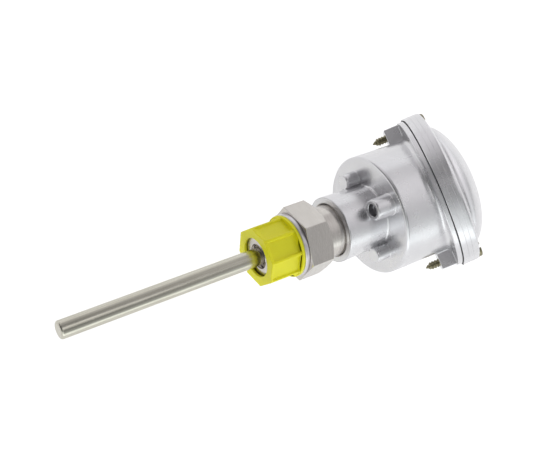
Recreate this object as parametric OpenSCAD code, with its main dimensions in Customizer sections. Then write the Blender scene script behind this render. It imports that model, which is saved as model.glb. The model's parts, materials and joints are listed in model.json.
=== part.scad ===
// Resistance thermometer probe with a die-cast connection head.
// The stem lies along X with its tip at -X, and the process fitting seals at X = 0.
// +Z is the low side of the head's sloping lid, and the cable entry faces -Z.

/* [Stem] */
// Stem diameter
stem_d = 8; // [7.8:0.1:8.6]
// Length from the sealing face to the tip
stem_len = 112; // [90:1:300]
// Wall of the stem tube
stem_wall = 0.8; // [0.6:0.05:0.9]
// Rounding of the stem's tip
tip_round = 1; // [0.5:0.1:1.5]
// Thickness of the closed tip
tip_floor = 1.6; // [1.5:0.1:3]
// Diameter of the spigot that is welded in the fitting
spigot_d = 7.4; // [7.2:0.05:7.5]
// How far the tube runs in past the sealing face
tube_inset = 6; // [4:0.5:10]

/* [Sensor] */
// Diameter of the ceramic sensing element
element_d = 2.8; // [1.5:0.1:4]
// Length of the sensing element
element_len = 15; // [5:1:25]
// Diameter of the pair of bores' circle in the ceramic insulator
bore_circle_d = 2.8; // [2.4:0.1:3.4]
// Diameter of each bore in the insulator
wire_bore_d = 0.9; // [0.7:0.05:1.1]
// Diameter of a bare conductor
conductor_d = 0.6; // [0.4:0.05:0.65]
// Diameter of an insulated lead
lead_d = 1.2; // [1:0.05:1.35]
// Spacing of the leads
lead_pitch = 1.5; // [1.45:0.05:1.7]
// Length of the resin plug in the tube
plug_len = 4; // [2:0.5:6]

/* [Process fitting] */
// Major diameter of the process thread
thread_d = 20.955; // [20:0.005:21.5]
// Length of the process thread
thread_len = 17.5; // [14:0.5:22]
// Diameter of the relief groove behind the thread
relief_d = 18.4; // [17:0.1:19]
// Width of the relief groove
relief_w = 2.6; // [2:0.1:4]
// Width of the hexagon across its flats
hex_af = 30; // [29:0.5:34]
// Length of the hexagon
hex_len = 12.5; // [8:0.5:16]
// Turn of the hexagon about the stem
hex_turn = 21; // [0:1:59]
// Diameter of the neck thread
neck_d = 24; // [23:0.1:25]
// Visible length of the neck
neck_gap = 8.7; // [6:0.1:14]
// Length of neck screwed into the head
neck_engage = 14; // [8:0.5:18]
// Diameter of the open mouth around the stem
mouth_d = 11.5; // [10.5:0.1:13]
// Depth of the mouth
mouth_depth = 3; // [2:0.5:10]
// Diameter of the wire space in the neck
wire_space_d = 16; // [12:0.5:18]

/* [Sealing washer] */
// Outer diameter of the sealing washer
washer_d = 29; // [27:0.5:31]
// Thickness of the sealing washer
washer_t = 2.2; // [1:0.1:2.5]

/* [Thread cap] */
// Width of the cap across its flats
cap_af = 25.4; // [23.6:0.1:26]
// Length of the cap
cap_len = 16.8; // [16.5:0.1:24]
// Diameter of the hole in the cap's front
cap_hole_d = 17.8; // [14:0.1:19]
// Diameter of the cap's rear flange
cap_flange_d = 28.3; // [27.8:0.1:30]
// Thickness of the cap's rear flange
cap_flange_t = 1.4; // [1.2:0.1:3]
// Depth of the recessed panels
panel_depth = 0.8; // [0.3:0.05:0.9]
// Width of the ribs between the panels
rib_w = 1.5; // [1:0.1:2.5]
// Turn of the cap about the stem
cap_turn = 73; // [0:1:89]

/* [Head] */
// Diameter of the head's neck where it meets the shoulder
head_neck_d = 29.8; // [28.5:0.1:30.5]
// Length of the head's neck
head_neck_len = 22.1; // [20:0.1:30]
// How much the neck widens towards its mouth
neck_draft = 1.1; // [0:0.1:2]
// Width of the bevel at the neck's mouth
neck_bevel = 0.45; // [0.2:0.05:0.8]
// Diameter of the head's round wall
head_d = 56.2; // [54:0.2:60]
// Thickness of the head's wall
head_wall = 3.1; // [2.5:0.1:4]
// Thickness of the head's floor
head_floor = 4; // [3:0.1:5]
// Rounding of the shoulder's edge
shoulder_round = 1.4; // [0.5:0.1:3]
// Fillet between the head's neck and its shoulder
neck_fillet = 1; // [0.5:0.1:3]
// Distance from the shoulder to the lid's centre
lid_reach = 39.1; // [37:0.1:45]
// Slope of the lid
lid_tilt = 31; // [26:0.5:33]

/* [Bosses and lugs] */
// Diameter of the two side bosses
side_boss_d = 7.4; // [7:0.1:8.4]
// Length of the side bosses
side_boss_len = 7.4; // [5:0.1:10]
// Height of the side bosses over the stem's axis
side_boss_z = 2.5; // [0:0.1:4]
// Diameter of the earth boss
earth_boss_d = 9.8; // [9:0.1:11]
// Length of the earth boss
earth_boss_len = 9.6; // [8:0.1:13]
// Distance of the earth boss from the inside of the head's wall
earth_boss_in = 5.8; // [5.5:0.1:6.1]
// Diameter of the recess in the earth boss
earth_recess_d = 5.8; // [4:0.1:7]
// Depth of the recess in the earth boss
earth_recess_depth = 3; // [1:0.1:4]
// Width of the screw lugs
lug_w = 9.2; // [7:0.1:11]
// How far the lugs reach out past their screws
lug_edge = 3.7; // [3.2:0.1:4.2]
// Depth of the screw lugs below the lid's joint
lug_depth = 10; // [8:0.1:12]
// Diameter of the cable entry's boss
entry_boss_d = 27; // [25:0.5:28]
// Bore of the cable entry's thread
entry_bore_d = 18.4; // [16:0.1:20]
// Distance of the entry's face from the stem's axis
entry_face = 36; // [34:0.5:40]
// Distance from the shoulder to the entry's axis
entry_x = 29.7; // [28:0.1:31]

/* [Lid] */
// Diameter of the lid
lid_d = 75.6; // [73:0.1:80]
// How far the lid stands out past the head's flange
lid_overhang = 0.9; // [0.3:0.1:1.4]
// Thickness of the head's flange
flange_t = 2.6; // [2:0.1:4]
// Height of the lid's rim
rim_h = 7.6; // [7:0.1:10]
// Rise of the lid's shoulder between rim and crown
lid_step_h = 1.8; // [1:0.1:3]
// Width of the lid's flat shoulder around the crown
shoulder_w = 8; // [7.5:0.1:10]
// Height of the crown over the lid's shoulder
crown_h = 10.2; // [6:0.1:14]
// Thickness of the lid
lid_wall = 2.6; // [2:0.1:3]
// Thickness of the gasket
gasket_t = 0.7; // [0.5:0.1:2]
// Width of the gasket inside its screws
gasket_in = 4.4; // [3.5:0.1:5]
// How far the gasket's ears stand out past the flange
gasket_ear = 0.9; // [0.2:0.1:1.2]
// Distance of each lid screw from the lid's edge
screw_edge = 5.4; // [5.2:0.1:6]
// Diameter of the lid screws
screw_d = 4; // [3:0.1:4.4]
// Diameter of the lid screws' heads
screw_head_d = 9.6; // [7:0.1:9.8]
// Height of the lid screws' heads
screw_head_h = 2.8; // [2:0.1:3.4]
// Length of the lid screws under the head
screw_len = 24.8; // [20:0.1:30]
// Length of the lid screws' pointed tips
screw_point = 2.6; // [1:0.1:4]

/* [Terminals] */
// Room between the terminal block's ends and the head's wall
block_room = 2.5; // [1.5:0.1:2.8]
// Distance of the side screws from the block's ends
block_end = 4.5; // [4.2:0.1:4.8]
// Room between the block and the earth screw's centre
earth_room = 6.2; // [5.6:0.1:7]
// Thickness of the terminal block
block_t = 9; // [6:0.5:12]
// Height of the seats under the terminal block
seat_h = 2; // [1:0.1:4]
// Space between neighbouring terminals
terminal_gap = 1.6; // [1.2:0.1:2]
// Length of a terminal
terminal_len = 14; // [12:0.5:15]
// Height of a terminal
terminal_h = 5.5; // [4:0.1:7]
// Depth of the wire's bore in a terminal
wire_depth = 1.6; // [1:0.1:1.8]
// Diameter of the terminal screws
terminal_screw_d = 3; // [2.5:0.1:3.2]
// Diameter of the screws that hold the block and the earth wire
fixing_d = 4; // [3:0.1:4]

/* [Fits] */
// Clearance between pieces that pass through each other
pass_gap = 0.1; // [0.05:0.01:0.2]
// Clearance around what is slipped in place
slip_gap = 0.25; // [0.15:0.05:0.3]

/* [Hidden] */
$fn = 96;

// How far a cutting shape runs past the surface it cuts
over = 1;
// Points along each curve of the lid's crown
crown_steps = 12;
// Terminals, one for each of the four leads
terminals = 4;

// Stations along the stem
tip_x = -stem_len;
thread_x = -thread_len;
mouth_x = thread_x + mouth_depth;
ring_x = hex_len + neck_gap;
shoulder_x = ring_x + head_neck_len;
floor_x = shoulder_x + head_floor;
lid_x = shoulder_x + lid_reach;
seat_x = floor_x + seat_h;
block_top_x = seat_x + block_t;
cap_back_x = -washer_t;
cap_front_x = cap_back_x - cap_len;

// Bores and radii that follow the pieces inside them
tube_bore_r = stem_d / 2 - stem_wall;
insulator_r = tube_bore_r - slip_gap;
cavity_r = head_d / 2 - head_wall;
neck_bore_r = neck_d / 2 + pass_gap;
neck_r = head_neck_d / 2;
earth_boss_z = cavity_r - earth_boss_in;
block_d = 2 * (cavity_r - block_room);
block_w = 2 * (earth_boss_z - earth_room);
side_boss_y = block_d / 2 - block_end;
element_x = tip_x + tip_floor + slip_gap;
insulator_x = element_x + element_len;
plug_x = tube_inset - plug_len;
neck_end_x = ring_x + neck_engage;

// Lid heights over the head's joint face
rim_top = gasket_t + rim_h;
step_top = rim_top + lid_step_h;
crown_top = step_top + crown_h;
head_seat_h = rim_top - 0.4;
spotface_d = screw_head_d + 2 * slip_gap;
lid_boss_d = spotface_d + 2.4;
flange_d = lid_d - 2 * lid_overhang;
screw_y = lid_d / 2 - screw_edge;
crown_r = lid_d / 2 - shoulder_w;

// Terminal layout
block_margin = 5.4;
terminal_pitch = (block_d - block_margin) / (terminals + 2);
terminal_w = terminal_pitch - terminal_gap;
fixing_head_d = fixing_d + 2.8;
fixing_head_h = 2.4;
fixing_washer_t = 0.8;
fixing_depth = 9;
terminal_z0 = -9;
wire_slot_z = 9;
wire_slot_d = (terminals - 1) * lead_pitch + lead_d + 2 * slip_gap + 1;
rib_t = terminal_gap - 2 * slip_gap;
earth_washer_w = 8;
earth_washer_t = 1.2;

// Turns a shape drawn along Z so that it runs along X, starting at x
module along_x(x) {
    translate([x, 0, 0])
        rotate([0, 90, 0])
            children();
}

// Places a shape on the lid's sloping plane, with Z along the lid's normal
module on_lid() {
    translate([lid_x, 0, 0])
        rotate([0, 90 - lid_tilt, 0])
            children();
}

// The ring of a tube's outline at a point, square to a direction
function ring(p, dir, r, sides) =
    let (side = cross(dir, [0.03, 0.02, 1]), u = side / norm(side), v = cross(u, dir))
    [for (k = [0 : sides - 1]) let (a = 360 * k / sides) p + r * (cos(a) * u + sin(a) * v)];

// A point of the smooth curve that runs from b to c, between a and d
function curve_point(a, b, c, d, t) =
    0.5 * (2 * b + (c - a) * t + (2 * a - 5 * b + 4 * c - d) * t * t + (3 * b - a - 3 * c + d) * t * t * t);

// The smooth curve through a list of points
function smooth_path(pts, steps) =
    let (last = len(pts) - 1)
    concat([for (i = [0 : last - 1]) for (j = [0 : steps - 1])
                curve_point(pts[max(i - 1, 0)], pts[i], pts[i + 1], pts[min(i + 2, last)], j / steps)],
           [pts[last]]);

// A round wire that follows a path
module wire(path, d, sides = 8) {
    last = len(path) - 1;
    rings = [for (i = [0 : last])
                let (dir = path[min(i + 1, last)] - path[max(i - 1, 0)])
                each ring(path[i], dir / norm(dir), d / 2, sides)];
    polyhedron(points = rings,
               faces = concat([[for (k = [0 : sides - 1]) k]],
                              [for (i = [0 : last - 1]) for (k = [0 : sides - 1])
                                  [i * sides + k, (i + 1) * sides + k,
                                   (i + 1) * sides + (k + 1) % sides, i * sides + (k + 1) % sides]],
                              [[for (k = [sides - 1 : -1 : 0]) last * sides + k]]));
}

function terminal_y(i) = (i - (terminals - 1) / 2) * terminal_pitch;
function lead_y(i) = (i - (terminals - 1) / 2) * lead_pitch;

// ---- Stem ----

module protection_tube() {
    color([0.62, 0.61, 0.57])
        along_x(tip_x)
            difference() {
                union() {
                    rotate_extrude()
                        polygon([[0, 0], [stem_d / 2 - tip_round, 0],
                                 for (a = [15 : 15 : 75])
                                     [stem_d / 2 - tip_round * (1 - sin(a)), tip_round * (1 - cos(a))],
                                 [stem_d / 2, tip_round],
                                 [stem_d / 2, mouth_x - tip_x], [0, mouth_x - tip_x]]);
                    cylinder(d = spigot_d, h = tube_inset - tip_x);
                }
                translate([0, 0, tip_floor])
                    cylinder(r = tube_bore_r, h = stem_len + tube_inset);
            }
}

module tube_plug() {
    color([0.25, 0.22, 0.2])
        along_x(plug_x)
            cylinder(r = tube_bore_r - pass_gap, h = plug_len);
}

module sensing_element() {
    color([0.93, 0.93, 0.9])
        along_x(element_x)
            cylinder(d = element_d, h = element_len);
}

module insulator() {
    color([0.9, 0.88, 0.82])
        along_x(insulator_x)
            difference() {
                cylinder(r = insulator_r, h = plug_x - insulator_x);
                for (a = [45 : 90 : 315])
                    rotate([0, 0, a])
                        translate([bore_circle_d / 2, 0, -over])
                            cylinder(d = wire_bore_d, h = plug_x - insulator_x + 2 * over);
            }
}

module inner_conductors() {
    color([0.75, 0.74, 0.7])
        along_x(insulator_x)
            for (a = [45 : 90 : 315])
                rotate([0, 0, a])
                    translate([bore_circle_d / 2, 0, 0])
                        cylinder(d = conductor_d, h = plug_x - insulator_x);
}

// One insulated lead from the resin plug to the end of its terminal
module lead(i) {
    end_z = terminal_z0 + terminal_len;
    top_x = block_top_x + terminal_h / 2;
    mid_y = (lead_y(i) + terminal_y(i)) / 2;
    wire(smooth_path([[tube_inset, lead_y(i), 0],
                      [(tube_inset + neck_end_x) / 2, lead_y(i), 0],
                      [neck_end_x, lead_y(i), wire_slot_z / 4],
                      [floor_x, lead_y(i), wire_slot_z],
                      [block_top_x, lead_y(i), wire_slot_z],
                      [top_x + lead_d, mid_y, wire_slot_z + 2 * lead_d],
                      [top_x, terminal_y(i), end_z + 2 * lead_d],
                      [top_x, terminal_y(i), end_z + lead_d],
                      [top_x, terminal_y(i), end_z - wire_depth]], 4), lead_d);
}

module leads_red() {
    color([0.75, 0.1, 0.08])
        for (i = [0, 1])
            lead(i);
}

module leads_white() {
    color([0.92, 0.92, 0.9])
        for (i = [2, 3])
            lead(i);
}

// ---- Process fitting ----

// Hexagon with a flat sealing face and a turned chamfer on its far end
module chamfered_hex(af, h) {
    corner_r = af / sqrt(3);
    turned_r = af / 2 - 0.3;
    outside = corner_r + 1;
    intersection() {
        rotate([0, 0, hex_turn])
            cylinder(r = corner_r, h = h, $fn = 6);
        rotate_extrude()
            polygon([[0, 0], [outside, 0], [outside, h - (outside - turned_r) * tan(30)],
                     [turned_r, h], [0, h]]);
    }
}

module process_fitting() {
    chamfer = 1.2;
    color([0.66, 0.65, 0.61])
        difference() {
            union() {
                along_x(thread_x)
                    cylinder(d1 = thread_d - 2 * chamfer, d2 = thread_d, h = chamfer);
                along_x(thread_x + chamfer)
                    cylinder(d = thread_d, h = thread_len - chamfer - relief_w);
                along_x(-relief_w - over)
                    cylinder(d = relief_d, h = relief_w + 2 * over);
                along_x(0)
                    rotate([0, 0, 90])
                        chamfered_hex(hex_af, hex_len);
                along_x(hex_len - over)
                    cylinder(d = neck_d, h = neck_end_x - hex_len + over);
            }
            along_x(thread_x - over)
                cylinder(d = mouth_d, h = mouth_depth + over);
            along_x(mouth_x - over)
                cylinder(d = spigot_d + 2 * 0.01, h = tube_inset - mouth_x + 2 * over);
            along_x(tube_inset)
                cylinder(d = wire_space_d, h = neck_end_x);
        }
}

module sealing_washer() {
    color([0.82, 0.81, 0.84])
        along_x(-washer_t)
            difference() {
                cylinder(d = washer_d, h = washer_t);
                translate([0, 0, -over])
                    cylinder(d = thread_d + 2 * pass_gap, h = washer_t + 2 * over);
            }
}

// ---- Thread cap ----

// Octagonal block with a corner at cap_turn
module octagon(af, h) {
    rotate([0, 0, cap_turn])
        cylinder(d = af / cos(22.5), h = h, $fn = 8);
}

module thread_cap() {
    front_t = thread_x - slip_gap - cap_front_x;
    rim_t = 1.2;
    rib_len = cap_len - cap_flange_t / 2;
    color([0.85, 0.83, 0.1])
        along_x(cap_front_x)
            difference() {
                union() {
                    octagon(cap_af - 2 * panel_depth, rib_len);
                    octagon(cap_af, rim_t);
                    intersection() {
                        octagon(cap_af, rib_len);
                        for (a = [0 : 45 : 315])
                            rotate([0, 0, cap_turn + a])
                                translate([cap_af / 4, -rib_w / 2, 0])
                                    cube([cap_af, rib_w, cap_len]);
                    }
                    translate([0, 0, cap_len - cap_flange_t])
                        cylinder(d = cap_flange_d, h = cap_flange_t);
                }
                translate([0, 0, -over])
                    cylinder(d = cap_hole_d, h = cap_len);
                translate([0, 0, front_t])
                    cylinder(d = thread_d + 2 * pass_gap, h = cap_len);
            }
}

// ---- Head ----

// Everything on the lid's side of the head's joint face
module above_joint() {
    on_lid()
        cylinder(d = 3 * lid_d, h = 2 * lid_d);
}

// The round wall up to the sloping flange
module head_shell() {
    difference() {
        union() {
            along_x(shoulder_x)
                rotate_extrude()
                    polygon([[0, 0], [head_d / 2 - shoulder_round, 0],
                             for (a = [15 : 15 : 75])
                                 [head_d / 2 - shoulder_round * (1 - sin(a)), shoulder_round * (1 - cos(a))],
                             [head_d / 2, shoulder_round],
                             [head_d / 2, lid_reach + head_d], [0, lid_reach + head_d]]);
            on_lid()
                translate([0, 0, -flange_t])
                    cylinder(d = flange_d, h = flange_t);
        }
        above_joint();
    }
}

// A lug that carries one lid screw, on the side given by s
module screw_lug(s) {
    lug_out = screw_y + lug_edge;
    on_lid()
        translate([-lug_w / 2, s > 0 ? cavity_r + 1 : -lug_out, -lug_depth])
            cube([lug_w, lug_out - cavity_r - 1, lug_depth - flange_t / 2]);
}

// An outside boss on the shoulder, rooted in the floor
module shoulder_boss(y, z, d, length) {
    chamfer = 0.5;
    translate([0, y, z])
        along_x(shoulder_x - length) {
            cylinder(d1 = d - 2 * chamfer, d2 = d, h = chamfer);
            translate([0, 0, chamfer])
                cylinder(d = d, h = length + head_floor / 2 - chamfer);
        }
}

module head_body() {
    edge = 0.4;
    mouth_r = neck_r + neck_draft / 2;
    color([0.78, 0.78, 0.8])
        difference() {
            union() {
                head_shell();
                along_x(ring_x)
                    rotate_extrude()
                        polygon([[0, 0], [mouth_r - edge, 0], [mouth_r, edge],
                                 for (a = [180 : -15 : 90])
                                     [neck_r + neck_fillet * (1 + cos(a)),
                                      head_neck_len - neck_fillet * (1 - sin(a))],
                                 [neck_r + neck_fillet, head_neck_len + over], [0, head_neck_len + over]]);
                for (s = [-1, 1]) {
                    screw_lug(s);
                    shoulder_boss(s * side_boss_y, side_boss_z, side_boss_d, side_boss_len);
                }
                shoulder_boss(0, earth_boss_z, earth_boss_d, earth_boss_len);
                translate([shoulder_x + entry_x, 0, -entry_face])
                    cylinder(d = entry_boss_d, h = entry_face - cavity_r + head_wall / 2);
            }
            difference() {
                along_x(floor_x)
                    cylinder(r = cavity_r, h = lid_reach + head_d);
                for (s = [-1, 1])
                    translate([0, s * side_boss_y, side_boss_z])
                        along_x(floor_x - over)
                            cylinder(d = side_boss_d + 1, h = seat_h + over);
            }
            along_x(ring_x - over)
                cylinder(r = neck_bore_r, h = floor_x - ring_x + 2 * over);
            along_x(ring_x - over)
                cylinder(r = neck_bore_r + neck_bevel, h = over + 2 * neck_bevel);
            translate([shoulder_x + entry_x, 0, -entry_face - over])
                cylinder(d = entry_bore_d, h = entry_face + over - cavity_r / 2);
            for (s = [-1, 1]) {
                on_lid()
                    translate([0, s * screw_y, -lug_depth - over])
                        cylinder(d = screw_d + 2 * pass_gap, h = lug_depth + 2 * over);
                translate([0, s * side_boss_y, side_boss_z])
                    along_x(seat_x - fixing_depth)
                        cylinder(d = fixing_d + 2 * pass_gap, h = fixing_depth + over);
            }
            translate([0, 0, earth_boss_z]) {
                along_x(floor_x - fixing_depth)
                    cylinder(d = fixing_d + 2 * pass_gap, h = fixing_depth + over);
                along_x(shoulder_x - earth_boss_len - over)
                    cylinder(d = earth_recess_d, h = earth_recess_depth + over);
            }
        }
}

// ---- Terminals ----

module terminal_block() {
    color([0.93, 0.91, 0.85])
        difference() {
            union() {
                intersection() {
                    along_x(seat_x)
                        cylinder(d = block_d, h = block_t);
                    translate([seat_x, -block_d / 2, -block_w / 2])
                        cube([block_t, block_d, block_w]);
                }
                for (i = [1 : terminals - 1])
                    translate([block_top_x - over,
                               (terminal_y(i - 1) + terminal_y(i) - rib_t) / 2, terminal_z0])
                        cube([terminal_h - 1 + over, rib_t, terminal_len]);
            }
            translate([0, 0, wire_slot_z])
                along_x(seat_x - over)
                    cylinder(d = wire_slot_d, h = block_t + 2 * over);
            for (s = [-1, 1])
                translate([0, s * side_boss_y, side_boss_z])
                    along_x(seat_x - over)
                        cylinder(d = fixing_d + 2 * pass_gap, h = block_t + 2 * over);
        }
}

// Places a shape at each terminal screw, on top of its clamp
module at_terminal_screws() {
    for (i = [0 : terminals - 1])
        for (z = [terminal_z0 + terminal_len / 4, terminal_z0 + 3 * terminal_len / 4])
            translate([block_top_x, terminal_y(i), z])
                rotate([0, 90, 0])
                    children();
}

module terminal_clamps() {
    color([0.8, 0.66, 0.3])
        difference() {
            for (i = [0 : terminals - 1])
                translate([block_top_x, terminal_y(i) - terminal_w / 2, terminal_z0])
                    cube([terminal_h, terminal_w, terminal_len]);
            at_terminal_screws()
                translate([0, 0, 1])
                    cylinder(d = terminal_screw_d + 2 * pass_gap, h = terminal_h);
            for (i = [0 : terminals - 1])
                translate([block_top_x + terminal_h / 2, terminal_y(i),
                           terminal_z0 + terminal_len - wire_depth - pass_gap])
                    cylinder(d = lead_d + 2 * slip_gap, h = wire_depth + over);
        }
}

// Cheese-head screw with its head's underside at Z = 0 and a driver slot
module slotted_screw(d, length, head_d, head_h) {
    slot_w = head_d * 0.16;
    translate([0, 0, -length])
        cylinder(d = d, h = length);
    difference() {
        cylinder(d = head_d, h = head_h);
        translate([-head_d, -slot_w / 2, head_h / 2])
            cube([2 * head_d, slot_w, head_h]);
    }
}

module terminal_screws() {
    color([0.8, 0.79, 0.76])
        at_terminal_screws()
            translate([0, 0, terminal_h])
                slotted_screw(terminal_screw_d, terminal_h - 2, terminal_w - 0.6, 1.4);
}

module block_screws() {
    color([0.75, 0.74, 0.72])
        for (s = [-1, 1])
            translate([block_top_x + fixing_washer_t, s * side_boss_y, side_boss_z])
                rotate([0, 90, 0])
                    slotted_screw(fixing_d, fixing_washer_t + block_t + fixing_depth - 1,
                                  fixing_head_d, fixing_head_h);
}

module block_washers() {
    color([0.7, 0.7, 0.68])
        for (s = [-1, 1])
            translate([block_top_x, s * side_boss_y, side_boss_z])
                rotate([0, 90, 0])
                    difference() {
                        cylinder(d = fixing_head_d + 0.6, h = fixing_washer_t);
                        translate([0, 0, -over])
                            cylinder(d = fixing_d + 2 * pass_gap, h = fixing_washer_t + 2 * over);
                    }
}

module earth_screw() {
    color([0.75, 0.74, 0.72])
        translate([floor_x + earth_washer_t, 0, earth_boss_z])
            rotate([0, 90, 0])
                slotted_screw(fixing_d, earth_washer_t + fixing_depth - 1, fixing_head_d, fixing_head_h);
}

module earth_washer() {
    color([0.8, 0.66, 0.3])
        difference() {
            translate([floor_x, -earth_washer_w / 2, earth_boss_z - earth_washer_w / 2])
                cube([earth_washer_t, earth_washer_w, earth_washer_w]);
            translate([0, 0, earth_boss_z])
                along_x(floor_x - over)
                    cylinder(d = fixing_d + 2 * pass_gap, h = earth_washer_t + 2 * over);
        }
}

// ---- Lid ----

// Height of the crown at a radius r, for a crown of radius R and rise H
function crown_rise(r, R, H) = H * pow(1 - pow(r / R, 2.2), 0.7);

// Half outline of a crown of radius R that rises by H from h0, from its edge to the axis
function crown_curve(R, H, h0) =
    [for (i = [0 : crown_steps]) let (r = R * cos(90 * i / crown_steps)) [r, h0 + crown_rise(r, R, H)]];

module lid() {
    edge = 1.2;
    R = lid_d / 2;
    inner_r = crown_r - lid_wall;
    rim_in = R - lid_wall;
    color([0.8, 0.8, 0.82])
        on_lid()
            difference() {
                rotate_extrude()
                    polygon(concat([[0, gasket_t], [R, gasket_t], [R, rim_top - edge], [R - edge, rim_top]],
                                   crown_curve(crown_r, crown_h, step_top)));
                difference() {
                    rotate_extrude()
                        polygon(concat([[0, gasket_t - over], [rim_in, gasket_t - over],
                                        [rim_in, rim_top - lid_wall]],
                                       crown_curve(inner_r, crown_h, step_top - lid_wall)));
                    for (s = [-1, 1])
                        translate([0, s * screw_y, gasket_t - 2 * over])
                            cylinder(d = lid_boss_d, h = rim_h + 2 * over);
                }
                for (s = [-1, 1])
                    translate([0, s * screw_y, 0]) {
                        cylinder(d = screw_d + 2 * pass_gap, h = crown_top);
                        translate([0, 0, head_seat_h])
                            cylinder(d = spotface_d, h = crown_top);
                    }
            }
}

module lid_gasket() {
    ear_d = 8;
    ear_y = flange_d / 2 + gasket_ear - ear_d / 2;
    color([0.06, 0.06, 0.06])
        on_lid()
            difference() {
                union() {
                    cylinder(d = flange_d, h = gasket_t);
                    for (s = [-1, 1])
                        translate([0, s * ear_y, 0])
                            cylinder(d = ear_d, h = gasket_t);
                }
                translate([0, 0, -over])
                    cylinder(r = screw_y - gasket_in, h = gasket_t + 2 * over);
                for (s = [-1, 1])
                    translate([0, s * screw_y, -over])
                        cylinder(d = screw_d + 2 * pass_gap, h = gasket_t + 2 * over);
            }
}

module lid_screws() {
    color([0.55, 0.52, 0.38])
        on_lid()
            for (s = [-1, 1])
                translate([0, s * screw_y, head_seat_h]) {
                    slotted_screw(screw_d, screw_len - screw_point, screw_head_d, screw_head_h);
                    translate([0, 0, -screw_len])
                        cylinder(d1 = 0.4, d2 = screw_d, h = screw_point);
                }
}

protection_tube();
tube_plug();
sensing_element();
insulator();
inner_conductors();
leads_red();
leads_white();
process_fitting();
sealing_washer();
thread_cap();
head_body();
terminal_block();
terminal_clamps();
terminal_screws();
block_screws();
block_washers();
earth_screw();
earth_washer();
lid();
lid_gasket();
lid_screws();
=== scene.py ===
import json
import math

import bmesh
import bpy
from mathutils import Matrix, Vector


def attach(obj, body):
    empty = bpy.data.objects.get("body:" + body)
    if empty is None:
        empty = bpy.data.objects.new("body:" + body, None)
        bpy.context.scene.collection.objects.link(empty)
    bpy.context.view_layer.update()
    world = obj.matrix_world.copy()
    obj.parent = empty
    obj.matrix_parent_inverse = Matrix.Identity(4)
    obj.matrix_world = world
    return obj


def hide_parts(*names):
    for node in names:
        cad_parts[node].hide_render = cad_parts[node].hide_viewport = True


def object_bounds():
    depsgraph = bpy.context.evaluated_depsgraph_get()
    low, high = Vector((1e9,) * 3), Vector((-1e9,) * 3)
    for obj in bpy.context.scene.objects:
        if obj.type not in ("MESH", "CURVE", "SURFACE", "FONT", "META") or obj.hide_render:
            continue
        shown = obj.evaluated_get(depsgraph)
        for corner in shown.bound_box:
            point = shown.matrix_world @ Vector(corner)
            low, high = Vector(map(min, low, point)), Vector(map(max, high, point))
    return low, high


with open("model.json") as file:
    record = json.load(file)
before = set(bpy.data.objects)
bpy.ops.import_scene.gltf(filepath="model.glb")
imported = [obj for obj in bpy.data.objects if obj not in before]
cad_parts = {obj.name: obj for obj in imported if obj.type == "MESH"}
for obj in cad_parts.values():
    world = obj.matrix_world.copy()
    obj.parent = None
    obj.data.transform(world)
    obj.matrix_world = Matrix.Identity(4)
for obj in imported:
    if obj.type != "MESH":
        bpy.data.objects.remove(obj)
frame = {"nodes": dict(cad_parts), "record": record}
cadBounds = [list(corner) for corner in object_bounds()]
scene = bpy.context.scene
mm = 0.001
near = 0.001 * mm  # points closer than this are one
print("frame loaded")


# Small steps shared by the node trees

def feed(tree, socket, value):
    # a socket takes a link from another node, or a constant
    if isinstance(value, bpy.types.NodeSocket):
        tree.links.new(value, socket)
    else:
        socket.default_value = value


def rangeNode(tree, value, low, high, outLow, outHigh):
    node = tree.nodes.new("ShaderNodeMapRange")
    node.inputs["From Min"].default_value = low
    node.inputs["From Max"].default_value = high
    node.inputs["To Min"].default_value = outLow
    node.inputs["To Max"].default_value = outHigh
    tree.links.new(value, node.inputs["Value"])
    return node.outputs["Result"]


def mathNode(tree, operation, first, second):
    node = tree.nodes.new("ShaderNodeMath")
    node.operation = operation
    feed(tree, node.inputs[0], first)
    feed(tree, node.inputs[1], second)
    return node.outputs["Value"]


def vectorNode(tree, operation, first, second):
    node = tree.nodes.new("ShaderNodeVectorMath")
    node.operation = operation
    feed(tree, node.inputs[0], first)
    feed(tree, node.inputs["Scale" if operation == "SCALE" else 1], second)
    return node.outputs


# Camera, floor and light

studio = {
    "place": (-0.2283, -0.0334, 0.4070),
    "aim": (-0.0062, 0.0113, 0.0),
    "topSide": (0.294, 0.919, 0.262),
    "lens": 70.3,
    "sensor": 36,
    "floorGap": 0.012,
    "floorSize": 6.0,
    "floorGlow": 0.57,
    "floorLift": 0.2,
    "floorShade": 0.6,
    "floorRough": 0.6,
    "coolTint": (0.77, 0.8, 0.8),
    "warmTint": (0.8, 0.785, 0.8),
    "lampSide": (0.05, -0.1, 0.99),
    "lampPower": 0.25,
    "lampSpread": 40,
}
# soft panels about the bench: degrees round from +X, degrees up, brightness
coolPanels = [(240, 8, 1.4), (280, 8, 0.5), (320, 8, 0.9), (245, 33, 0.6)]
warmPanels = [(20, 33, 1.3), (80, 8, 0.9), (110, 33, 0.7), (40, 8, 0.2), (335, 33, 0.55), (0, 60, 0.2),
              (216, 60, 0.2)]
# a smaller and sharper panel over the bench's near end
spots = [(170, 57, 0.45)]
# the bench cloth curls up behind these sides and ends in a clear edge
sweeps = [(280, 0, 1.25), (40, 0, 0.7), (200, 0, 0.65)]
sharpness = {"panel": 8.0, "spot": 50.0, "sweep": 6.0}
clothEdge = {"low": 0.29, "high": 0.36}


def makeCamera():
    place, aim = Vector(studio["place"]), Vector(studio["aim"])
    back = (place - aim).normalized()
    right = Vector(studio["topSide"]).cross(back).normalized()
    up = back.cross(right)
    data = bpy.data.cameras.new("camera")
    data.lens = studio["lens"]
    data.sensor_width = studio["sensor"]
    camera = bpy.data.objects.new("camera", data)
    camera.matrix_world = Matrix.Translation(place) @ Matrix((right, up, back)).transposed().to_4x4()
    scene.collection.objects.link(camera)
    scene.camera = camera


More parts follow.
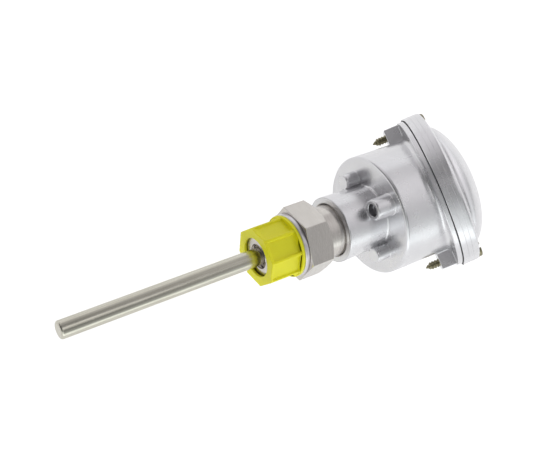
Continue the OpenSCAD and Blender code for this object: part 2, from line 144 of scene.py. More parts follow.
def makeFloor():
    half = studio["floorSize"] / 2
    low = cadBounds[0][2] - studio["floorGap"]
    bm = bmesh.new()
    bmesh.ops.create_grid(bm, x_segments=1, y_segments=1, size=half, matrix=Matrix.Translation((0, 0, low)))
    mesh = bpy.data.meshes.new("floor")
    bm.to_mesh(mesh)
    bm.free()
    floor = bpy.data.objects.new("floor", mesh)
    scene.collection.objects.link(floor)
    mat = bpy.data.materials.new("palePaper")
    mat.use_nodes = True
    tree = mat.node_tree
    shader = tree.nodes["Principled BSDF"]
    shade = studio["floorShade"]
    shader.inputs["Base Color"].default_value = (shade, shade, shade, 1)
    shader.inputs["Roughness"].default_value = studio["floorRough"]
    shader.inputs["Emission Color"].default_value = (1, 1, 1, 1)
    rays = tree.nodes.new("ShaderNodeLightPath")
    lift = mathNode(tree, "MULTIPLY", rays.outputs["Is Camera Ray"], studio["floorLift"])
    tree.links.new(mathNode(tree, "ADD", lift, studio["floorGlow"]), shader.inputs["Emission Strength"])
    mesh.materials.append(mat)


def panelGlow(tree, ray, panel, power):
    # a round soft light about one direction of the sky
    around, above, bright = math.radians(panel[0]), math.radians(panel[1]), panel[2]
    level = math.cos(above)
    side = (level * math.cos(around), level * math.sin(around), math.sin(above))
    toward = vectorNode(tree, "DOT_PRODUCT", ray, side)["Value"]
    ahead = mathNode(tree, "MAXIMUM", toward, 0.0)
    return mathNode(tree, "MULTIPLY", mathNode(tree, "POWER", ahead, power), bright)


def sumGlow(tree, ray, lights, kind):
    total = 0.0
    for light in lights:
        total = mathNode(tree, "ADD", panelGlow(tree, ray, light, sharpness[kind]), total)
    return total


def makeSky():
    world = bpy.data.worlds.new("softSky")
    scene.world = world
    world.use_nodes = True
    tree = world.node_tree
    tree.nodes.clear()
    ray = tree.nodes.new("ShaderNodeTexCoord").outputs["Generated"]
    parts = tree.nodes.new("ShaderNodeSeparateXYZ")
    tree.links.new(ray, parts.inputs["Vector"])
    warm = mathNode(tree, "ADD", sumGlow(tree, ray, warmPanels, "panel"), sumGlow(tree, ray, spots, "spot"))
    below = rangeNode(tree, parts.outputs["Z"], clothEdge["low"], clothEdge["high"], 1, 0)
    cloth = mathNode(tree, "MULTIPLY", sumGlow(tree, ray, sweeps, "sweep"), below)
    cool = mathNode(tree, "ADD", sumGlow(tree, ray, coolPanels, "panel"), cloth)
    tints = [vectorNode(tree, "SCALE", tint, glow)["Vector"]
             for glow, tint in ((cool, studio["coolTint"]), (warm, studio["warmTint"]))]
    sky = tree.nodes.new("ShaderNodeBackground")
    tree.links.new(vectorNode(tree, "ADD", *tints)["Vector"], sky.inputs["Color"])
    plain = tree.nodes.new("ShaderNodeBackground")
    plain.inputs["Color"].default_value = (1, 1, 1, 1)
    rays = tree.nodes.new("ShaderNodeLightPath")
    mix = tree.nodes.new("ShaderNodeMixShader")
    out = tree.nodes.new("ShaderNodeOutputWorld")
    tree.links.new(rays.outputs["Is Camera Ray"], mix.inputs["Fac"])
    tree.links.new(sky.outputs["Background"], mix.inputs[1])
    tree.links.new(plain.outputs["Background"], mix.inputs[2])
    tree.links.new(mix.outputs["Shader"], out.inputs["Surface"])


def addLamp():
    data = bpy.data.lights.new("roomLamp", "SUN")
    data.energy = studio["lampPower"]
    data.angle = math.radians(studio["lampSpread"])
    lamp = bpy.data.objects.new("roomLamp", data)
    away = -Vector(studio["lampSide"])
    lamp.matrix_world = away.to_track_quat("-Z", "Y").to_matrix().to_4x4()
    scene.collection.objects.link(lamp)


makeCamera()
makeFloor()
makeSky()
addLamp()
scene.view_settings.view_transform = "Standard"
print("camera, floor and light ready")


# Shared surface effects

def newGroup(name, inputs, outputs):
    group = bpy.data.node_groups.new(name, "ShaderNodeTree")
    for title, kind, value in inputs:
        socket = group.interface.new_socket(name=title, in_out="INPUT", socket_type=kind)
        socket.default_value = value
    for title, kind in outputs:
        group.interface.new_socket(name=title, in_out="OUTPUT", socket_type=kind)
    start = group.nodes.new("NodeGroupInput")
    end = group.nodes.new("NodeGroupOutput")
    return group, start, end


def noiseNode(tree, vector, scale, detail=3.0, rough=0.55):
    node = tree.nodes.new("ShaderNodeTexNoise")
    node.inputs["Scale"].default_value = scale
    node.inputs["Detail"].default_value = detail
    node.inputs["Roughness"].default_value = rough
    tree.links.new(vector, node.inputs["Vector"])
    return node.outputs["Fac"]


def mixColour(tree, mask, first, second):
    node = tree.nodes.new("ShaderNodeMix")
    node.data_type = "RGBA"
    node.clamp_factor = True
    tree.links.new(mask, node.inputs["Factor"])
    for socket, value in ((node.inputs[6], first), (node.inputs[7], second)):
        feed(tree, socket, value + (1,) if isinstance(value, tuple) else value)
    return node.outputs[2]


def makeToolGroup():
    # fine lines that run square to the stretched axis, with slower waves under them
    group, start, end = newGroup("toolLines", [("Vector", "NodeSocketVector", (0, 0, 0)),
                                               ("Stretch", "NodeSocketVector", (1, 1, 1))],
                                 [("Lines", "NodeSocketFloat"), ("Waves", "NodeSocketFloat")])
    place = group.nodes.new("ShaderNodeMapping")
    group.links.new(start.outputs["Vector"], place.inputs["Vector"])
    group.links.new(start.outputs["Stretch"], place.inputs["Scale"])
    group.links.new(noiseNode(group, place.outputs["Vector"], 1.0, 4.0, 0.7), end.inputs["Lines"])
    group.links.new(noiseNode(group, place.outputs["Vector"], 0.12, 2.0), end.inputs["Waves"])
    return group


def makeMottleGroup():
    # cloudy patches, small specks and a fine pebbled skin
    group, start, end = newGroup("mottle", [("Vector", "NodeSocketVector", (0, 0, 0))],
                                 [("Clouds", "NodeSocketFloat"), ("Specks", "NodeSocketFloat"),
                                  ("Skin", "NodeSocketFloat")])
    vector = start.outputs["Vector"]
    group.links.new(noiseNode(group, vector, 70.0, 4.0), end.inputs["Clouds"])
    group.links.new(rangeNode(group, noiseNode(group, vector, 900.0, 2.0), 0.66, 0.74, 0, 1), end.inputs["Specks"])
    group.links.new(noiseNode(group, vector, 1600.0, 2.0, 0.5), end.inputs["Skin"])
    return group


def makeWearGroup():
    # light rubbing on raised edges, broken up by the clouds
    group, start, end = newGroup("edgeWear", [("Vector", "NodeSocketVector", (0, 0, 0)),
                                              ("Reach", "NodeSocketFloat", 0.56)],
                                 [("Mask", "NodeSocketFloat")])
    shape = group.nodes.new("ShaderNodeNewGeometry")
    raised = group.nodes.new("ShaderNodeMapRange")
    group.links.new(shape.outputs["Pointiness"], raised.inputs["Value"])
    group.links.new(start.outputs["Reach"], raised.inputs["From Min"])
    raised.inputs["From Max"].default_value = 0.66
    patches = rangeNode(group, noiseNode(group, start.outputs["Vector"], 350.0, 3.0), 0.35, 0.6, 0.2, 1)
    group.links.new(mathNode(group, "MULTIPLY", raised.outputs["Result"], patches), end.inputs["Mask"])
    return group


toolLines = makeToolGroup()
mottle = makeMottleGroup()
edgeWear = makeWearGroup()


def placeGroup(tree, group, **values):
    node = tree.nodes.new("ShaderNodeGroup")
    node.node_tree = group
    for title, value in values.items():
        feed(tree, node.inputs[title], value)
    return node.outputs


def startMaterial(name, colour, rough, metal=0.0, **sockets):
    mat = bpy.data.materials.new(name)
    mat.use_nodes = True
    tree = mat.node_tree
    shader = tree.nodes["Principled BSDF"]
    shader.inputs["Base Color"].default_value = colour + (1,)
    shader.inputs["Roughness"].default_value = rough
    shader.inputs["Metallic"].default_value = metal
    for title, value in sockets.items():
        shader.inputs[title.replace("_", " ")].default_value = value
    coord = tree.nodes.new("ShaderNodeTexCoord")
    return mat, tree, shader, coord.outputs["Object"]


def addBump(tree, shader, height, strength, distance):
    bump = tree.nodes.new("ShaderNodeBump")
    bump.inputs["Strength"].default_value = strength
    bump.inputs["Distance"].default_value = distance
    tree.links.new(height, bump.inputs["Height"])
    tree.links.new(bump.outputs["Normal"], shader.inputs["Normal"])


def makeClouds(tree, vector, first, second, speckShare, speckColour):
    # colour that drifts between two shades, with specks in it
    clouds = placeGroup(tree, mottle, Vector=vector)
    patch = rangeNode(tree, clouds["Clouds"], 0.3, 0.7, 0, 1)
    specks = mathNode(tree, "MULTIPLY", clouds["Specks"], speckShare)
    return clouds, mixColour(tree, specks, mixColour(tree, patch, first, second), speckColour)


def driftGloss(tree, shader, clouds, low, high):
    tree.links.new(rangeNode(tree, clouds["Clouds"], 0.3, 0.7, low, high), shader.inputs["Roughness"])


def makeSteel(name, bright, dark, stretch, rough):
    # worked steel: lines from the tool in colour, gloss and relief
    mat, tree, shader, vector = startMaterial(name, bright, rough, 1.0)
    marks = placeGroup(tree, toolLines, Vector=vector, Stretch=stretch)
    clouds = placeGroup(tree, mottle, Vector=vector)
    lines = rangeNode(tree, marks["Lines"], 0.3, 0.72, 0, 1)
    shade = mixColour(tree, lines, dark, bright)
    stain = rangeNode(tree, clouds["Clouds"], 0.35, 0.75, 0, 0.5)
    tree.links.new(mixColour(tree, stain, shade, dark), shader.inputs["Base Color"])
    gloss = rangeNode(tree, marks["Lines"], 0.3, 0.7, rough + 0.08, rough - 0.05)
    tree.links.new(gloss, shader.inputs["Roughness"])
    addBump(tree, shader, mathNode(tree, "ADD", marks["Lines"], marks["Waves"]), 0.5, 0.00001)
    return mat


alloy = {
    "low": (0.71, 0.705, 0.725), "high": (0.80, 0.795, 0.81), "metal": 0.86, "rough": (0.22, 0.3),
    "speckShare": 0.22, "speck": (0.42, 0.42, 0.44), "scrape": (0.45, 0.45, 0.47), "scrapeStretch": (260, 1100, 900),
    "rubbed": (0.93, 0.93, 0.95), "rubReach": 0.53,
}
# painted shade: the drilled end of the earth boss gets a darker grey that stands in for the shade inside the hole
bossHoleShade = {"middle": (0.0352, 0, 0.0192), "inner": 0.0032, "outer": 0.00335, "colour": (0.35, 0.345, 0.36)}


def makeCastAlloy(name):
    # silver lacquer over a casting: pebbled skin, faint clouds, scrapes, bright rubbed edges, and painted shade in
    # the earth boss's drilled end
    mat, tree, shader, vector = startMaterial(name, alloy["low"], alloy["rough"][0], alloy["metal"],
                                              Coat_Weight=0.35, Coat_Roughness=0.12)
    clouds, base = makeClouds(tree, vector, alloy["low"], alloy["high"], alloy["speckShare"], alloy["speck"])
    scrapes = placeGroup(tree, toolLines, Vector=vector, Stretch=alloy["scrapeStretch"])
    base = mixColour(tree, rangeNode(tree, scrapes["Lines"], 0.68, 0.75, 0, 0.3), base, alloy["scrape"])
    worn = placeGroup(tree, edgeWear, Vector=vector, Reach=alloy["rubReach"])
    base = mixColour(tree, worn["Mask"], base, alloy["rubbed"])
    # painted shade: within a small sphere about the earth boss's drilled end the colour turns darker grey, standing
    # in for the shade in the hole
    reach = vectorNode(tree, "DISTANCE", vector, bossHoleShade["middle"])["Value"]
    paintedShade = rangeNode(tree, reach, bossHoleShade["inner"], bossHoleShade["outer"], 1, 0)
    tree.links.new(mixColour(tree, paintedShade, base, bossHoleShade["colour"]), shader.inputs["Base Color"])
    driftGloss(tree, shader, clouds, *alloy["rough"])
    skin = mathNode(tree, "ADD", mathNode(tree, "MULTIPLY", clouds["Clouds"], 3.0), clouds["Skin"])
    addBump(tree, shader, skin, 0.35, 0.000025)
    return mat


wax = {
    "low": (0.90, 0.85, 0.006), "high": (0.97, 0.93, 0.015), "rough": (0.36, 0.5), "speckShare": 0.2,
    "speck": (0.45, 0.42, 0.02),
}


def makeWax(name):
    # waxy yellow polyethylene with a dull, slightly rippled skin
    mat, tree, shader, vector = startMaterial(name, wax["low"], wax["rough"][0], Subsurface_Weight=0.18,
                                              Subsurface_Scale=0.002, Subsurface_Radius=(1.0, 0.9, 0.2),
                                              Specular_IOR_Level=0.45)
    clouds, base = makeClouds(tree, vector, wax["low"], wax["high"], wax["speckShare"], wax["speck"])
    tree.links.new(base, shader.inputs["Base Color"])
    driftGloss(tree, shader, clouds, *wax["rough"])
    skin = mathNode(tree, "ADD", mathNode(tree, "MULTIPLY", clouds["Clouds"], 4.0), clouds["Skin"])
    addBump(tree, shader, skin, 0.4, 0.00004)
    return mat


def makePlain(name, first, second, rough, **sockets):
    # dull stuff whose colour drifts between two shades
    mat, tree, shader, vector = startMaterial(name, first, rough, **sockets)
    dark = tuple(value * 0.6 for value in second)
    clouds, base = makeClouds(tree, vector, first, second, 0.3, dark)
    tree.links.new(base, shader.inputs["Base Color"])
    driftGloss(tree, shader, clouds, rough - 0.06, rough + 0.06)
    addBump(tree, shader, clouds["Skin"], 0.4, 0.00002)
    return mat


finishes = {
    "stem_steel": makeSteel("drawnSteel", (0.72, 0.70, 0.62), (0.53, 0.51, 0.43), (40, 2600, 2600), 0.2),
    "fitting_steel": makeSteel("turnedSteel", (0.72, 0.69, 0.655), (0.57, 0.54, 0.505), (2600, 160, 160), 0.21),
    "washer_metal": makeSteel("washerMetal", (0.75, 0.73, 0.75), (0.63, 0.61, 0.64), (500, 700, 700), 0.33),
    "cap_plastic": makeWax("waxyYellow"),
    "cast_alloy": makeCastAlloy("silverCasting"),
    "seal_rubber": makePlain("sealRubber", (0.012, 0.012, 0.013), (0.028, 0.028, 0.03), 0.55),
    "screw_steel": makeSteel("platedSteel", (0.40, 0.38, 0.27), (0.15, 0.13, 0.07), (900, 900, 900), 0.26),
    "ceramic": makePlain("glazedCeramic", (0.84, 0.81, 0.73), (0.77, 0.73, 0.63), 0.22, Coat_Weight=0.4),
    "brass": makeSteel("clampBrass", (0.80, 0.60, 0.27), (0.58, 0.40, 0.16), (700, 900, 200), 0.3),
    "lead_red": makePlain("redInsulation", (0.52, 0.02, 0.015), (0.42, 0.015, 0.012), 0.4),
    "lead_white": makePlain("whiteInsulation", (0.83, 0.83, 0.80), (0.74, 0.74, 0.70), 0.4),
    "resin": makePlain("pottingResin", (0.045, 0.035, 0.025), (0.08, 0.065, 0.05), 0.3),
    "platinum_lead": makeSteel("bareWire", (0.72, 0.70, 0.66), (0.55, 0.53, 0.49), (60, 2600, 2600), 0.25),
}
slotOf = {row["node"]: row["material_slot"] for row in frame["record"]["subparts"]}
for node, slot in slotOf.items():
    for place in frame["nodes"][node].material_slots:
        place.material = finishes[slot]
print("finishes ready")


# Shared steps for the pieces

stemTurn = Matrix.Rotation(math.radians(90), 4, "Y")  # lays a shape drawn along Z onto the stem's axis
lidSeat = {"centre": 82.4, "tilt": math.radians(31)}
lidNormal = Vector((math.cos(lidSeat["tilt"]), 0, math.sin(lidSeat["tilt"])))
lidTurn = Matrix.Translation((lidSeat["centre"] * mm, 0, 0))
lidTurn = lidTurn @ Matrix.Rotation(math.pi / 2 - lidSeat["tilt"], 4, "Y")


def arc(radius, height, size, start, stop, steps=5):
    # points of a corner's rounding about (radius, height)
    angles = [math.radians(start + (stop - start) * step / steps) for step in range(steps + 1)]
    return [(radius + size * math.cos(angle), height + size * math.sin(angle)) for angle in angles]


def spunShape(outline, closed=False, steps=128):
    bm = bmesh.new()
    points = [bm.verts.new((radius * mm, 0, height * mm)) for radius, height in outline]
    edges = [bm.edges.new(pair) for pair in zip(points, points[1:])]
    if closed:
        edges.append(bm.edges.new((points[-1], points[0])))
    bmesh.ops.spin(bm, geom=points + edges, cent=(0, 0, 0), axis=(0, 0, 1), angle=math.tau,
                   steps=steps, use_merge=True)
    bmesh.ops.remove_doubles(bm, verts=bm.verts, dist=near)
    bmesh.ops.recalc_face_normals(bm, faces=bm.faces)
    return bm


def scaleAcross(vert, share):
    vert.co.x *= share
    vert.co.y *= share


def threadShape(major, minor, pitch, low, high, lead=0.0, leadRadius=0.0, turnSteps=40):
    # one pitch of the profile wound into a helix, then cut square at both ends
    bm = bmesh.new()
    # radius, and share of the pitch: root, flank, crest, flank
    outline = [(minor, 0), (minor, 0.1), (major, 0.46), (major, 0.6), (minor, 1)]
    points = [bm.verts.new((radius * mm, 0, (low - pitch + share * pitch) * mm)) for radius, share in outline]
    edges = [bm.edges.new(pair) for pair in zip(points, points[1:])]
    turns = math.ceil((high - low) / pitch) + 2
    bmesh.ops.spin(bm, geom=points + edges, cent=(0, 0, 0), axis=(0, 0, 1),
                   dvec=(0, 0, pitch * mm / turnSteps), angle=math.tau * turns,
                   steps=turnSteps * turns, use_merge=False)
    bmesh.ops.remove_doubles(bm, verts=bm.verts, dist=2 * near)
    for height, way in ((low, -1), (high, 1)):
        bmesh.ops.bisect_plane(bm, geom=bm.verts[:] + bm.edges[:] + bm.faces[:], dist=near / 10,
                               plane_co=(0, 0, height * mm), plane_no=(0, 0, way), clear_outer=True)
    for vert in bm.verts:
        reach = math.hypot(vert.co.x, vert.co.y) / mm
        above = vert.co.z / mm - low
        if lead and above < lead:
            limit = leadRadius + (major - leadRadius) * above / lead
            if reach > limit:
                scaleAcross(vert, limit / reach)
    bmesh.ops.recalc_face_normals(bm, faces=bm.faces)
    outward = sum(face.normal.x * face.calc_center_median().x + face.normal.y * face.calc_center_median().y
                  for face in bm.faces)
    if outward < 0:
        bmesh.ops.reverse_faces(bm, faces=bm.faces)
    return bm


def openLoop(bm, height):
    # boundary edges that lie at a height
    return [edge for edge in bm.edges if edge.is_boundary
            and all(abs(vert.co.z - height * mm) < 2 * near for vert in edge.verts)]


def closeToCircle(bm, height, radius):
    # the thread's end drawn inward to the edge of a round hole
    made = bmesh.ops.extrude_edge_only(bm, edges=openLoop(bm, height))["geom"]
    for vert in (item for item in made if isinstance(item, bmesh.types.BMVert)):
        scaleAcross(vert, radius * mm / math.hypot(vert.co.x, vert.co.y))
    bmesh.ops.recalc_face_normals(bm, faces=bm.faces)


flat = {"angle": math.radians(0.5), "shape": math.radians(35)}


def copyNode(node, keep=None, tidy=True):
    # a node's mesh in larger faces, or only its paired triangles joined
    bm = bmesh.new()
    bm.from_mesh(frame["nodes"][node].data)
    bmesh.ops.remove_doubles(bm, verts=bm.verts, dist=near)
    if keep:
        gone = [face for face in bm.faces if not keep(face.calc_center_median() / mm)]
        bmesh.ops.delete(bm, geom=gone, context="FACES")
    if tidy:
        bmesh.ops.dissolve_limit(bm, angle_limit=flat["angle"], verts=bm.verts, edges=bm.edges)
    else:
        bmesh.ops.join_triangles(bm, faces=bm.faces, angle_face_threshold=flat["angle"],
                                 angle_shape_threshold=flat["shape"])
    return bm


def joinShapes(first, *others):
    for other in others:
        spare = bpy.data.meshes.new("spare")
        other.to_mesh(spare)
        other.free()
        first.from_mesh(spare)
        bpy.data.meshes.remove(spare)
    return first


def combine(bm, other, operation):
    # exact union, difference or common part of two closed shapes
    objects = []
    for shape in (bm, other):
        mesh = bpy.data.meshes.new("shape")
        shape.to_mesh(mesh)
        shape.free()
        holder = bpy.data.objects.new("shape", mesh)
        scene.collection.objects.link(holder)
        objects.append(holder)
    cut = objects[0].modifiers.new("cut", "BOOLEAN")
    cut.operation = operation
    cut.solver = "EXACT"
    cut.object = objects[1]
    ready = objects[0].evaluated_get(bpy.context.evaluated_depsgraph_get())
    result = bmesh.new()
    result.from_mesh(ready.to_mesh())
    ready.to_mesh_clear()
    for holder in objects:
        mesh = holder.data
        bpy.data.objects.remove(holder)
        bpy.data.meshes.remove(mesh)
    return result


def markEdges(bm, sharp, choose):
    # the corners that are to be rounded
    weight = bm.edges.layers.float.new("bevel_weight_edge")
    for edge in bm.edges:
        middle = (edge.verts[0].co + edge.verts[1].co) / 2 / mm
        if len(edge.link_faces) == 2 and edge.calc_face_angle() > math.radians(sharp) and choose(middle):
            edge[weight] = 1.0


def finishPiece(name, bm, body, slot, nodes=(), place=None, soft=0.0, segments=3, sharp=32, choose=None):
    if place is not None:
        bmesh.ops.transform(bm, matrix=place, verts=bm.verts)
    if choose:
        markEdges(bm, sharp, choose)
    mesh = bpy.data.meshes.new(name)
    bm.to_mesh(mesh)
    bm.free()
    mesh.shade_smooth()
    mesh.set_sharp_from_angle(angle=math.radians(sharp))
    mesh.materials.append(finishes[slot])
    piece = bpy.data.objects.new(name, mesh)
    scene.collection.objects.link(piece)
    if soft:
        rounding = piece.modifiers.new("softEdges", "BEVEL")
        rounding.width = soft * mm
        rounding.segments = segments
        rounding.limit_method = "WEIGHT" if choose else "ANGLE"
        rounding.angle_limit = math.radians(sharp)
        rounding.use_clamp_overlap = False
        rounding.face_strength_mode = "FSTR_ALL"
        evening = piece.modifiers.new("evenShade", "WEIGHTED_NORMAL")
        evening.keep_sharp = True
        evening.use_face_influence = True
    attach(piece, body)
    if nodes:
        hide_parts(*nodes)
    return piece


# Stem

stem = {"radius": 4, "tip": -112, "round": 1.1, "ring": 0.6, "mouth": -14.6}


def makeStem():
    tip, radius, size = stem["tip"], stem["radius"], stem["round"]
    outline = [(0, tip), (radius - size - stem["ring"], tip)] + arc(radius - size, tip + size, size, -90, 0, 8)
    outline += [(radius, stem["mouth"]), (0, stem["mouth"])]
    finishPiece("probeStem", spunShape(outline, steps=96), "probe", "stem_steel", ["protection_tube"], stemTurn,
                soft=0.05, segments=1)


weld = {"foot": -14.5, "top": -16.7, "edge": -15.7, "outer": 5.3, "gap": 0.02}
weldSlope = [(0.3, 0.1), (-0.2, 0.35)]  # out from the ring's middle, and past its edge


def makeWeld():
    # the rounded ring of metal that joins the stem to the fitting inside its mouth
    foot, edge, outer, inside = weld["foot"], weld["edge"], weld["outer"], stem["radius"] + weld["gap"]
    middle = (inside + outer) / 2
    outline = [(inside, foot), (outer, foot), (outer, edge)]
    outline += [(middle + out, edge - past) for out, past in weldSlope] + [(inside, weld["top"])]
    finishPiece("weldRing", spunShape(outline, closed=True), "probe", "fitting_steel", (), stemTurn, sharp=50)


makeStem()
makeWeld()
print("stem done")


# Process fitting and its washer

fitting = {
    "major": 10.4775, "minor": 9.32, "pitch": 1.814, "front": -17.5, "relief": -2.6, "lead": 1.2,
    "leadRadius": 9.3, "mouth": 5.75, "soft": 0.3, "edge": 0.02, "sink": 0.15, "turnSteps": 64,
}


def makeFitting():
    def keep(centre):
        # all but the plain cylinder that stands for the thread
        reach, edge = math.hypot(centre.y, centre.z), fitting["edge"]
        return centre.x > fitting["relief"] - edge or reach < fitting["mouth"] + edge

    finishPiece("fittingBody", copyNode("process_fitting", keep), "probe", "fitting_steel", ["process_fitting"],
                soft=fitting["soft"])
    thread = threadShape(fitting["major"], fitting["minor"], fitting["pitch"], fitting["front"],
                         fitting["relief"], fitting["lead"], fitting["leadRadius"], fitting["turnSteps"])
    closeToCircle(thread, fitting["front"], fitting["mouth"])
    closeToCircle(thread, fitting["relief"], fitting["minor"] - fitting["sink"])
    finishPiece("processThread", thread, "probe", "fitting_steel", ["process_fitting"], stemTurn, sharp=60)


washer = {"outer": 14.5, "inner": 10.58, "thick": 2.2, "round": 0.5, "cut": 0.15}


def makeWasher():
    size, cut, outer, inner, thick = (washer[key] for key in ("round", "cut", "outer", "inner", "thick"))
    outline = [(inner, -thick + cut), (inner + cut, -thick)] + arc(outer - size, -thick + size, size, -90, 0)
    outline += arc(outer - size, -size, size, 0, 90) + [(inner + cut, 0), (inner, -cut)]
    finishPiece("flatWasher", spunShape(outline, closed=True), "probe", "washer_metal", ["sealing_washer"], stemTurn)


makeFitting()
makeWasher()
print("fitting done")


# Thread cap

cap = {"soft": 0.22}


def makeCap():
    finishPiece("threadCap", copyNode("thread_cap"), "cap", "cap_plastic", ["thread_cap"], soft=cap["soft"])


makeCap()
print("cap done")


# Head

head = {"soft": 0.45, "cavity": 25.6, "floor": 46.5, "rim": 36.2, "below": 0.5}


def makeHead():
    def outside(middle):
        # corners of the outer skin; those of the joint face, the screw holes and the cavity stay crisp
        reach = middle - Vector((lidSeat["centre"], 0, 0))
        skin = math.hypot(middle.y, middle.z) > head["cavity"] and reach.dot(lidNormal) < -head["below"]
        return middle.x < head["floor"] or reach.length > head["rim"] or skin

    finishPiece("headCasting", copyNode("head_body", tidy=False), "probe", "cast_alloy", ["head_body"],
                soft=head["soft"], choose=outside)


flangeFillet = {"wall": 28.1, "size": 3.2, "under": 2.6, "steps": 7, "round": 144}


def makeFlangeFillet():
    # the hollow sweep that carries the round wall out into the sloping flange
    wall, size = flangeFillet["wall"] * mm, flangeFillet["size"] * mm
    slope = math.tan(lidSeat["tilt"])
    joint = lidSeat["centre"] * mm - flangeFillet["under"] * mm / lidNormal.x
    bm = bmesh.new()
    bmesh.ops.create_circle(bm, cap_ends=False, radius=wall, segments=flangeFillet["round"], matrix=stemTurn)
    rings = [bm.verts[:]]
    edges = bm.edges[:]
    for step in range(flangeFillet["steps"]):
        made = bmesh.ops.extrude_edge_only(bm, edges=edges)["geom"]
        rings.append([item for item in made if isinstance(item, bmesh.types.BMVert)])
        edges = [item for item in made if isinstance(item, bmesh.types.BMEdge)
                 and all(vert in rings[-1] for vert in item.verts)]
    for number, ring in enumerate(rings):
        share = number / flangeFillet["steps"]
        for vert in ring:
            out = Vector((0, vert.co.y, vert.co.z)).normalized()
            corner = Vector((joint - out.z * wall * slope, out.y * wall, out.z * wall))
            outward = lidNormal.cross(out).cross(lidNormal).normalized()
            foot, tip = corner - Vector((size, 0, 0)), corner + outward * size
            vert.co = foot * (1 - share) ** 2 + corner * 2 * share * (1 - share) + tip * share ** 2
    bmesh.ops.recalc_face_normals(bm, faces=bm.faces)
    finishPiece("flangeFillet", bm, "probe", "cast_alloy", ["head_body"], sharp=80)


makeHead()
makeFlangeFillet()
print("head done")


# Lid

lid = {
    "radius": 37.8, "joint": 0.7, "top": 8.3, "step": 10.1, "crown": 29.8, "rise": 10.2, "wall": 2.6, "edge": 1.3,
    "screw": 32.4, "seat": 7.9, "pocket": 5.05, "hole": 2.1, "pillar": 6.25, "lip": 37.2, "lipFoot": 0.15,
    "earGap": 4.9, "ear": 33.8, "grooves": (2.1, 4.4), "grooveHalf": 0.12, "grooveDepth": 0.1, "cut": 0.2,
    "hollow": 0.7, "inset": 0.3, "sink": 0.8, "bulge": (2.2, 0.7), "clear": 30, "steps": 160,
}


def crownPoints(radius, rise, foot, steps=28):
    angles = [math.pi / 2 * step / steps for step in range(steps + 1)]
    reaches = [radius * math.cos(angle) for angle in angles]
    reaches[-1] = 0
    flank, full = lid["bulge"]
    return [(reach, foot + rise * (1 - (reach / radius) ** flank) ** full) for reach in reaches]


def roundBar(radius, low, high, across, steps=64):
    bm = bmesh.new()
    place = Matrix.Translation((0, across * mm, (low + high) / 2 * mm))
    bmesh.ops.create_cone(bm, cap_ends=True, segments=steps, radius1=radius * mm, radius2=radius * mm,
                          depth=(high - low) * mm, matrix=place)
    return bm


def makeLid():
    radius, joint, top, edge, wall = lid["radius"], lid["joint"], lid["top"], lid["edge"], lid["wall"]
    lip, foot, cut = lid["lip"], lid["lipFoot"], lid["cut"]
    outline = [(radius - wall, joint), (lip, joint), (lip, foot), (radius - cut, foot), (radius, foot + cut)]
    half, deep = lid["grooveHalf"], lid["grooveDepth"]
    for groove in lid["grooves"]:  # fine steps left by the turning tool
        height = joint + groove
        outline += [(radius, height - half), (radius - deep, height), (radius, height + half)]
    outline += arc(radius - edge, top - edge, edge, 0, 75, 6)
    # a shallow hollow round the foot of the dome
    foot, step = lid["crown"] + lid["hollow"], lid["step"]
    outline += [(foot + 0.5, step - 0.2), (foot, step - 0.25)]
    outline += crownPoints(lid["crown"], lid["rise"], lid["step"])
    inside = crownPoints(lid["crown"] - wall, lid["rise"], lid["step"] - wall)
    outline += inside[::-1] + [(radius - wall, top - wall)]
    steps, clear = lid["steps"], lid["clear"]
    shape = spunShape(outline, closed=True, steps=steps)
    for side in (-1, 1):
        pillar = combine(roundBar(lid["pillar"], joint, top - wall + lid["sink"], side * lid["screw"]),
                         roundBar(radius - lid["inset"], -1, top + 1, 0, steps), "INTERSECT")
        shape = combine(shape, pillar, "UNION")
    for side in (-1, 1):
        screw, ear = side * lid["screw"], side * lid["ear"]
        for cutter in ((lid["pocket"], lid["seat"], clear, screw), (lid["hole"], -1, clear, screw),
                       (lid["earGap"], -1, joint, ear)):
            shape = combine(shape, roundBar(*cutter), "DIFFERENCE")
    finishPiece("lidCasting", shape, "lid", "cast_alloy", ["lid"], lidTurn)
    finishPiece("lidSeal", copyNode("lid_gasket"), "lid", "seal_rubber", ["lid_gasket"], soft=0.12)


lidScrew = {
    "major": 2, "minor": 1.5, "pitch": 1.4, "length": 24.8, "point": 2.6, "headRadius": 4.8, "headHeight": 2.8,
    "slotWidth": 1.5, "slotDepth": 1.4, "blunt": 0.08, "headCut": 0.3, "headRound": 1, "dome": 0.15,
}


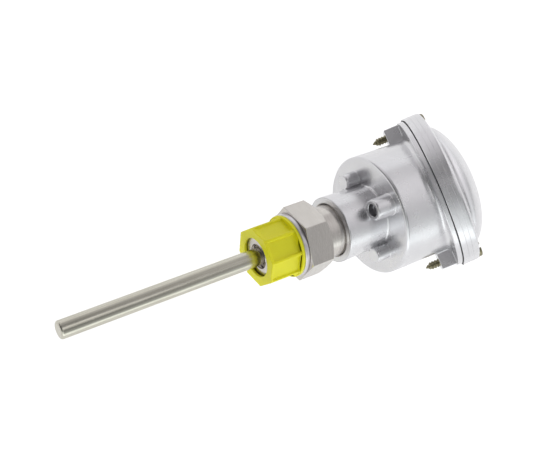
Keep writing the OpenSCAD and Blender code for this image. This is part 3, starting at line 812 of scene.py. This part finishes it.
def makeLidScrews():
    major, length, point, blunt = (lidScrew[key] for key in ("major", "length", "point", "blunt"))
    threads, heads = bmesh.new(), bmesh.new()
    for side in (-1, 1):
        place = Matrix.Translation((0, side * lid["screw"] * mm, lid["seat"] * mm))
        thread = threadShape(major, lidScrew["minor"], lidScrew["pitch"], -length, -1, 0, 0, 32)
        for vert in thread.verts:
            share = (vert.co.z / mm + length) / point
            if share < 1:
                scaleAcross(vert, blunt + (1 - blunt) * share)
        bmesh.ops.holes_fill(thread, edges=openLoop(thread, -length) + openLoop(thread, -1), sides=0)
        bmesh.ops.transform(thread, matrix=place, verts=thread.verts)
        joinShapes(threads, thread)
        radius, height = lidScrew["headRadius"], lidScrew["headHeight"]
        cut, size = lidScrew["headCut"], lidScrew["headRound"]
        outline = [(0, 0), (radius - cut, 0), (radius, cut)] + arc(radius - size, height - size, size, 0, 80, 6)
        pan = spunShape(outline + [(0, height + lidScrew["dome"])], steps=64)
        slot = bmesh.new()
        size = Matrix.Diagonal((3 * radius * mm, lidScrew["slotWidth"] * mm, 2 * lidScrew["slotDepth"] * mm, 1))
        bmesh.ops.create_cube(slot, size=1, matrix=Matrix.Translation((0, 0, height * mm)) @ size)
        pan = combine(pan, slot, "DIFFERENCE")
        bmesh.ops.transform(pan, matrix=place, verts=pan.verts)
        joinShapes(heads, pan)
    finishPiece("lidScrewThreads", threads, "lid", "screw_steel", ["lid_screws"], lidTurn, sharp=60)
    finishPiece("lidScrewHeads", heads, "lid", "screw_steel", ["lid_screws"], lidTurn)


makeLid()
makeLidScrews()
print("lid done")


# Inside the head

inner = {"block": 0.35, "metal": 0.15}


def makeInside():
    finishPiece("terminalBlock", copyNode("terminal_block"), "probe", "ceramic", ["terminal_block"],
                soft=inner["block"])
    for name, node in (("terminalClamps", "terminal_clamps"), ("terminalScrews", "terminal_screws"),
                       ("blockScrews", "block_screws"), ("blockWashers", "block_washers"),
                       ("earthScrew", "earth_screw"), ("earthWasher", "earth_washer")):
        finishPiece(name, copyNode(node), "probe", slotOf[node], [node], soft=inner["metal"], segments=2)
    for name, node in (("redLeads", "leads_red"), ("whiteLeads", "leads_white")):
        piece = finishPiece(name, copyNode(node), "probe", slotOf[node], [node], sharp=60)
        rounder = piece.modifiers.new("rounder", "SUBSURF")
        rounder.levels = rounder.render_levels = 1


makeInside()
print("inside done")

scene.view_layers[0].update()
